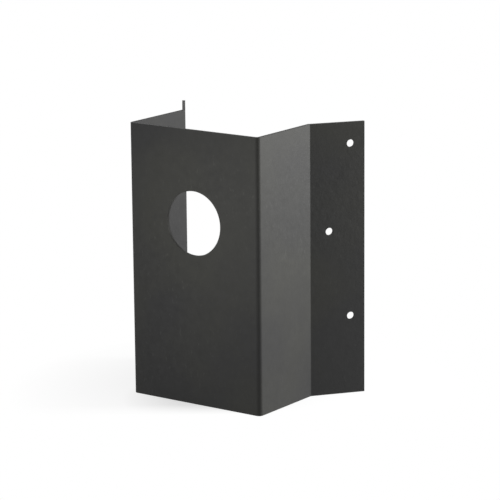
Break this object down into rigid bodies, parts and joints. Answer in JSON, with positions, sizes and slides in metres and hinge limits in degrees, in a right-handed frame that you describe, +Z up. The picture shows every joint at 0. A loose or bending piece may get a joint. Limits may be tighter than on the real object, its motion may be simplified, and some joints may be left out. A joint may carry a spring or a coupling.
{
  "type": "corner mount bracket",
  "caption": "Folded steel bracket for a wall corner: upright face plate with a round cable hole, sides running back from it, and drilled flanges that flare out to the walls.",
  "frame": {"origin": "middle of the bracket's outline, on the bottom edge of the sheet", "axes": "+Z up along the folds, -Y the way the face plate looks, +X to the right seen from the front"},
  "size_m": [0.1468, 0.0876, 0.18],
  "materials": {
    "coat": "fine-textured satin powder coat, charcoal black"
  },
  "bodies": {
    "root": {"bracket": "coat"}
  },
  "joints": []
}
